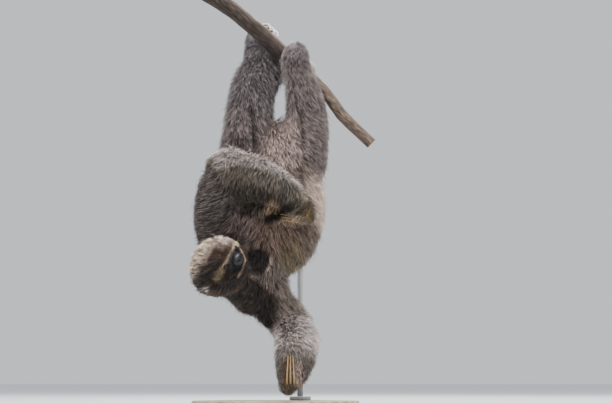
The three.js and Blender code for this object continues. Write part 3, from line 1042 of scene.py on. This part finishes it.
def limb(side, *names):
    return tuple(f"{name}_{side}" for name in names)


FLEECES = {
    "face": Fleece(("face",), 11500, 1, "face_coat", 5, 0.25, 0.12, 0.18),
    "crown": Fleece(("crown", "ear_left", "ear_right", "neck"), 12000, 1, "coat", 9, 0.6, 0.8, 0.35),
    "trunk": Fleece(("trunk", "tail"), 24000, 2, "coat", 9, 0.38, 0.26, 0.36),
    "arm_left": Fleece(limb("left", "upper_arm", "forearm", "hand"), 12000, 1, "coat", 6, 0.3, 0.30, 0.42),
    "arm_right": Fleece(limb("right", "upper_arm", "forearm", "hand"), 11500, 1, "coat", 6, 0.3, 0.18, 0.36),
    "leg_left": Fleece(limb("left", "thigh", "shank", "foot"), 12000, 1, "coat", 7, 0.42, 0.34, 0.36),
    "leg_right": Fleece(limb("right", "thigh", "shank", "foot"), 11500, 1, "coat", 7, 0.42, 0.34, 0.38),
}


class Roots:
    """Places on the skin that tufts grow from, with the skin's values there."""

    def __init__(self, skin, body, chosen, count):
        mesh = skin.data
        corners, loops = body.corners, body.loops
        first, second, third = (body.points[corners[:, corner]] for corner in range(3))
        area = np.linalg.norm(np.cross(second - first, third - first), axis=1) / 2
        crowd = (1 / body.width**CROWDING)[corners].mean(axis=1)
        weight = area * crowd * chosen[corners].mean(axis=1)
        total = np.cumsum(weight)
        steps = (np.arange(count) + random.random(count)) / count * total[-1]
        found = np.minimum(np.searchsorted(total, steps), len(weight) - 1)
        share = random.dirichlet((1, 1, 1), count)
        self.corners = corners[found]
        self.share = share
        unwrap = np.zeros(len(mesh.loops) * 2)
        mesh.uv_layers[0].data.foreach_get("uv", unwrap)
        self.patch = (unwrap.reshape(-1, 2)[loops[found]] * share[:, :, None]).sum(axis=1)
        self.count = count

    def take(self, values):
        picked = values[self.corners]
        share = self.share if values.ndim == 1 else self.share[:, :, None]
        return (picked * share).sum(axis=1)


def laid_tufts(roots, body, fleece):
    """The points along each tuft, the normal at its root, its lock's leader and the skin under its middle."""
    place = roots.take(body.points)
    normal = unit(roots.take(body.normals))
    comb = unit(roots.take(body.comb))
    flat = comb - normal * (comb * normal).sum(axis=1)[:, None]
    flatness = np.linalg.norm(flat, axis=1)
    flat = unit(flat + SIDEWAYS * random.normal(size=flat.shape))
    length = roots.take(body.length) * MM * random.uniform(*LENGTHS, roots.count)
    height = roots.take(body.depth + body.spring) * MM * random.uniform(*HEIGHTS, roots.count)
    stray = random.random(roots.count) < STRAY_SHARE
    height = np.where(stray, height * STRAY_RISE, height)
    height = height * (1 + 0.25 * ramp(flatness, 0.5, 0.1))
    leader = nearest_leader(place, roots.count // fleece.gathered)
    points = [place - normal * ROOT_DEPTH]
    under = []
    for ring in range(1, RINGS + 1):
        share = ring / RINGS
        own = place + flat * (length * share)[:, None]
        led = place[leader] + flat[leader] * (length[leader] * share)[:, None]
        pull = (fleece.pull * share**1.2 * ~stray)[:, None]
        lift = height * (1 - (1 - share) ** 1.8)
        laid, triangles = lay_on(body.tree, own * (1 - pull) + led * pull, lift)
        points.append(laid)
        under.append(triangles)
    return points, normal, leader, under[1]


def nearest_leader(places, count):
    """For each tuft, the tuft that its lock gathers round."""
    picked = np.arange(0, len(places), max(len(places) // count, 1))
    finder = KDTree(len(picked))
    for index, chosen in enumerate(picked):
        finder.insert(places[chosen], index)
    finder.balance()
    return np.array([picked[finder.find(place)[1]] for place in places])


def lay_on(tree, targets, lift):
    """Each target, brought to its height over the nearest skin, and the triangle of skin under it."""
    laid = np.empty_like(targets)
    under = np.empty(len(targets), int)
    for index, target in enumerate(targets):
        near, normal, triangle, _ = tree.find_nearest(target)
        laid[index] = near + normal * lift[index]
        under[index] = triangle
    return laid, under


def half_widths(width, share):
    """Half the widths of tufts at a share of their length: narrow at the root, fullest below the middle."""
    swollen = 0.32 + 0.36 * math.sin(math.pi * min(share + 0.25, 1))
    return width * MM * swollen * (1 - 0.35 * share)


def tuft_mesh(name, points, normal, width, colours, patch):
    """Closed three-sided hairs as one mesh, with their colours and their places on the baking map."""
    count = len(normal)
    rings = len(points) - 1
    per_tuft = rings * TUFT_SIDES + 1
    corners = np.zeros((count, per_tuft, 3))
    shades = np.zeros((count, per_tuft, 3))
    uvs = np.zeros((count, per_tuft, 2))
    for ring in range(rings):
        share = ring / rings
        forward = unit(points[ring + 1] - points[max(ring - 1, 0)])
        across = unit(np.cross(forward, normal))
        upwards = np.cross(across, forward)
        half = half_widths(width, share)
        for side in range(TUFT_SIDES):
            angle = 2 * math.pi * side / TUFT_SIDES + math.pi / 2
            offset = across * math.cos(angle) + upwards * (TUFT_FLATNESS * math.sin(angle))
            index = ring * TUFT_SIDES + side
            corners[:, index] = points[ring] + offset * half[:, None]
            uvs[:, index] = patch + [PATCH * (side / TUFT_SIDES - 0.33), PATCH * (share - 0.5)]
        shades[:, ring * TUFT_SIDES : (ring + 1) * TUFT_SIDES] = colours(share)[:, None, :]
    corners[:, -1] = points[-1]
    shades[:, -1] = colours(1.0)
    uvs[:, -1] = patch + [0, PATCH * 0.5]
    around = [(side, (side + 1) % TUFT_SIDES) for side in range(TUFT_SIDES)]
    sides = []
    for here in range(0, (rings - 1) * TUFT_SIDES, TUFT_SIDES):
        beyond = here + TUFT_SIDES
        sides += [[here + side, here + after, beyond + after, beyond + side] for side, after in around]
    last = (rings - 1) * TUFT_SIDES
    ends = [[last + side, last + after, per_tuft - 1] for side, after in around]
    ends.append([2, 1, 0])
    first = (np.arange(count) * per_tuft)[:, None, None]
    quads = (np.array(sides)[None] + first).reshape(-1, 4)
    threes = (np.array(ends)[None] + first).reshape(-1, 3)
    indices = np.concatenate([quads.ravel(), threes.ravel()])
    starts = np.concatenate([np.arange(len(quads)) * 4, len(quads) * 4 + np.arange(len(threes)) * 3])
    mesh = bpy.data.meshes.new(name)
    mesh.vertices.add(count * per_tuft)
    mesh.vertices.foreach_set("co", corners.ravel())
    mesh.loops.add(len(indices))
    mesh.loops.foreach_set("vertex_index", indices)
    mesh.polygons.add(len(starts))
    mesh.polygons.foreach_set("loop_start", starts)
    mesh.update(calc_edges=True)
    bake = mesh.uv_layers.new(name="OFBake")
    bake.data.foreach_set("uv", uvs.reshape(-1, 2)[indices].ravel())
    write_colours(mesh, shades.reshape(-1, 3))
    return mesh


def grow(name, fleece, skin, body, finish):
    """One fleece, in as many pieces as it is given."""
    chosen = sum(body.covered(part) for part in fleece.parts)
    roots = Roots(skin, body, np.clip(chosen, 0, 1) ** 2, fleece.tufts)
    points, normal, leader, under = laid_tufts(roots, body, fleece)
    base = body.colour[body.corners[under]].mean(axis=1)
    unlike = fleece.contrast * random.uniform(-1, 1, roots.count)[leader]
    own = random.uniform(*SHADES, roots.count)
    base = base * ((1 + unlike) * own)[:, None]
    paleness = np.clip(random.normal(fleece.pale, PALENESS_SPREAD, roots.count) + unlike, 0, 1)
    width = roots.take(body.width) * random.uniform(*WIDTHS, roots.count)

    def shade(share):
        """The colour at a share of the length: dark at the root, with a pale tip on some."""
        light = 0.34 + 0.76 * ramp(np.array(share), 0, 0.75)
        tip = base * 1.7 + linear(138, 128, 116) * 0.34
        return blend(base * light, tip, paleness * ramp(np.array(share), 0.45, 1))

    lots = np.array_split(np.arange(roots.count), fleece.pieces)
    for number, lot in enumerate(lots, 1):
        piece_name = f"coat_{name}" if fleece.pieces == 1 else f"coat_{name}_{number}"
        mesh = tuft_mesh(
            piece_name,
            [point[lot] for point in points],
            normal[lot],
            width[lot],
            lambda share, lot=lot: shade(share)[lot],
            np.clip(roots.patch[lot], PATCH, 1 - PATCH),
        )
        dress(piece_of(piece_name, mesh, finish), fleece.slot)


def unwrap(skin):
    """An unwrap of the skin's own shape, which places the tufts on the baking map."""
    skin.data.uv_layers.new(name="unwrap")
    bpy.context.view_layer.objects.active = skin
    skin.select_set(True)
    bpy.ops.object.mode_set(mode="EDIT")
    bpy.ops.mesh.select_all(action="SELECT")
    bpy.ops.uv.smart_project(angle_limit=UNWRAP_ANGLE, island_margin=UNWRAP_MARGIN)
    bpy.ops.object.mode_set(mode="OBJECT")


def make_animal():
    body = Body()
    body.inset()
    body.carve_head()
    write_colours(body.mesh, body.colour * SKIN_SHADE)
    skin = piece_of("skin", body.mesh, skin_finish())
    unwrap(skin)
    dress(skin, "coat", *FLESH)
    body.lay_triangles()
    hair = hair_finish()
    for name, fleece in FLEECES.items():
        grow(name, fleece, skin, body, hair)
    return body.tree


# ---- eyes, nose and claws ----
def make_eye(side, finish):
    """An eyeball with a clear bulge over its pupil."""
    shape = bmesh.new()
    bmesh.ops.create_icosphere(shape, subdivisions=5, radius=EYE_RADIUS)
    centre = on_side(EYE_PLACE, SIDES[side])
    axis = Vector(on_side(EYE_AXIS, SIDES[side]))
    from_pupil = []
    for vertex in shape.verts:
        angle = vertex.co.angle(axis)
        vertex.co += axis * 0.5 * hump(angle, 0, 0.5)
        from_pupil.append(min(angle / 1.1, 1))
        vertex.co = Vector(from_head(np.array(vertex.co) + centre))
    piece = finished_piece(f"eyeball_{side}", shape, finish)
    write_values(piece.data, "from_pupil", from_pupil)
    dress(piece, "eye", f"eye_{side}")


def make_nose(finish):
    """The leathery pad, with two nostrils and the groove between them."""
    shape = bmesh.new()
    bmesh.ops.create_icosphere(shape, subdivisions=6, radius=1)
    for vertex in shape.verts:
        place = np.array(vertex.co) * NOSE_RADII
        forward, left, up = place
        outwards = unit(np.array(vertex.co) / NOSE_RADII)
        from_hole = abs(left) - 6.2
        nostril = hump(from_hole, 0, 2.6) * hump(up + 0.3 * from_hole, -1.2, 1.9)
        groove = hump(left, 0, 0.9) * hump(max(up, 2), 2, 2)
        wing = hump(abs(left), 9.6, 2.2) * hump(up, -1.5, 3.5)
        if forward > 0:
            place = place + outwards * (0.7 * wing - 3.6 * nostril - 0.8 * groove)
        vertex.co = Vector(from_head(place + NOSE_PLACE))
    dress(finished_piece("nose_pad", shape, finish), "nose", "nose")


SWELL_LIMIT = 1.2 * MM
SWELL_START = 0.05 * MM  # how far inside the wall the ray sets out
SWELL_SHARES = {"hind": 0.2, "fore": 0.04}


def swell(shape, share):
    """Moves each vertex out by a share of the thickness under it, which rounding takes away again."""
    shape.normal_update()
    walls = BVHTree.FromBMesh(shape)
    moves = []
    for vertex in shape.verts:
        start = vertex.co - vertex.normal * SWELL_START
        thickness = walls.ray_cast(start, -vertex.normal)[3] or 0
        moves.append(vertex.normal * min(thickness * share, SWELL_LIMIT))
    for vertex, move in zip(shape.verts, moves):
        vertex.co += move


def make_claw(node, finish, skin_tree):
    """A rounded claw of horn over its faceted solid."""
    shape = merged_copy(node)
    swell(shape, SWELL_SHARES[node.split("_")[0]])
    flat = {"angle_face_threshold": 0.9, "angle_shape_threshold": 0.9}
    bmesh.ops.join_triangles(shape, faces=shape.faces, **flat)
    bmesh.ops.recalc_face_normals(shape, faces=shape.faces)
    rounded = finished_piece(f"{node}_horn", shape, finish)
    smoothing = rounded.modifiers.new("round", "SUBSURF")
    smoothing.levels = smoothing.render_levels = 2
    gaps = [skin_tree.find_nearest(vertex.co)[3] / MM for vertex in rounded.data.vertices]
    write_values(rounded.data, "near_toe", ramp(np.array(gaps), 10, 0))
    dress(rounded, "claw", node)


# ---- branch and stand ----
BRANCH_ENDS = (Vector((-146, 6, 840)) * MM, Vector((193, 8, 527)) * MM)
BARK_VOXEL = 1.7 * MM
CAP_DEPTH = 3 * MM  # the wood this near to an end gives the place of its pith
PITH_REACH = 18 * MM


def wood_places(reach, around, lengthwise, across):
    """Where to read a pattern that is drawn out along the branch."""
    return [Vector((along * lengthwise, *(out[1:] * across))) for along, out in zip(reach, around)]


def make_branch():
    """The cut length of branch, with knots, bark and sawn ends."""
    mesh = voxel_skin(merged_copy("perch"), BARK_VOXEL)
    points = Neighbours(mesh).smooth(rows_of(mesh, "co"), 3)
    move_points(mesh, points)
    normals = rows_of(mesh, "normal")
    low, high = (np.array(end) for end in BRANCH_ENDS)
    axis = unit(high - low)
    side_on = ramp(np.abs(normals @ axis), 0.8, 0.45)
    reach = (points - low) @ axis
    around = points - low - reach[:, None] * axis
    bumps = np.array([noise.fractal(place, 1.0, 2.0, 4) for place in wood_places(reach, around, 18, 60)])
    ribs = np.array([noise.noise(place) for place in wood_places(reach, around, 9, 260)])
    relief = 0.9 * bumps + 0.35 * ribs
    points = points + normals * (relief * side_on * MM)[:, None]
    move_points(mesh, points)
    edges = (reach.min(), reach.max())
    at_end = np.minimum(*(np.abs(reach - edge) for edge in edges))
    middles = [points[np.abs(reach - edge) < CAP_DEPTH].mean(axis=0) for edge in edges]
    pith = np.minimum(*(np.linalg.norm(points - middle, axis=1) for middle in middles)) / PITH_REACH
    turn = (0, math.atan2(high[2] - low[2], high[0] - low[0]), 0)
    branch = piece_of("branch", mesh, bark_finish(turn))
    upper_side = unit(np.cross(axis, [0, 1, 0]))
    # painted light: the branch's upper side paler, so that its underside stays dark as painted shade; also
    # paler towards its lower end
    worn = 0.8 * ramp(normals @ upper_side, 0.5, 1.0)
    write_values(mesh, "worn", np.maximum(worn, 0.4 * ramp(points[:, 0] / MM, 50, 80)))
    write_values(mesh, "sawn", (1 - side_on) * ramp(at_end / MM, 14, 10))
    write_values(mesh, "from_pith", np.minimum(pith, 1))
    dress(branch, "bark", "perch")


def make_stand():
    """The turned base and the bent steel rod with its flange."""
    low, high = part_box("stand_base")
    radius = (high.x - low.x) / 2
    thickness = high.z - low.z
    edge = 3 * MM
    profile = [
        (0, 0), (radius - edge, 0), (radius, edge), (radius, thickness * 0.45),
        (radius - 1.5 * edge, thickness * 0.62), (radius - 2 * edge, thickness), (0, thickness),
    ]
    shape = bmesh.new()
    corners = [shape.verts.new((out, 0, up)) for out, up in profile]
    edges = [shape.edges.new(pair) for pair in zip(corners, corners[1:])]
    full_turn = {"axis": (0, 0, 1), "angle": 2 * math.pi, "steps": 96, "use_merge": True}
    bmesh.ops.spin(shape, geom=corners + edges, cent=(0, 0, 0), **full_turn)
    bmesh.ops.remove_doubles(shape, verts=shape.verts, dist=0.05 * MM)
    bmesh.ops.recalc_face_normals(shape, faces=shape.faces)
    base = finished_piece("turned_base", shape, base_finish())
    base.data.set_sharp_from_angle(angle=math.radians(40))
    soften = base.modifiers.new("soften", "BEVEL")
    soften.width = 0.8 * MM
    soften.segments = 3
    dress(base, "stand_wood", "stand_base")
    steel = steel_finish()
    for node in ("stand_flange", "stand_rod", "stand_arm"):
        copied = finished_piece(f"{node}_steel", merged_copy(node), steel)
        copied.data.set_sharp_from_angle(angle=math.radians(42))
        dress(copied, "stand_steel", node)


make_camera()
make_studio(floor_finish())
skin_tree = make_animal()
for side in SIDES:
    make_eye(side, eye_finish())
make_nose(nose_finish())
horn = claw_finish("golden_horn", (116, 92, 56), (164, 138, 92), (196, 174, 128), 0.75)
pale_horn = claw_finish("pale_horn", (186, 168, 150), (222, 208, 194), (240, 232, 224), 0.35)
for claw in CLAWS:
    make_claw(claw, pale_horn if claw.startswith("hind") else horn, skin_tree)
make_branch()
make_stand()

boxes = {"cad": cad_box, "visual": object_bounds()}
{name: [list(corner) for corner in box] for name, box in boxes.items()}
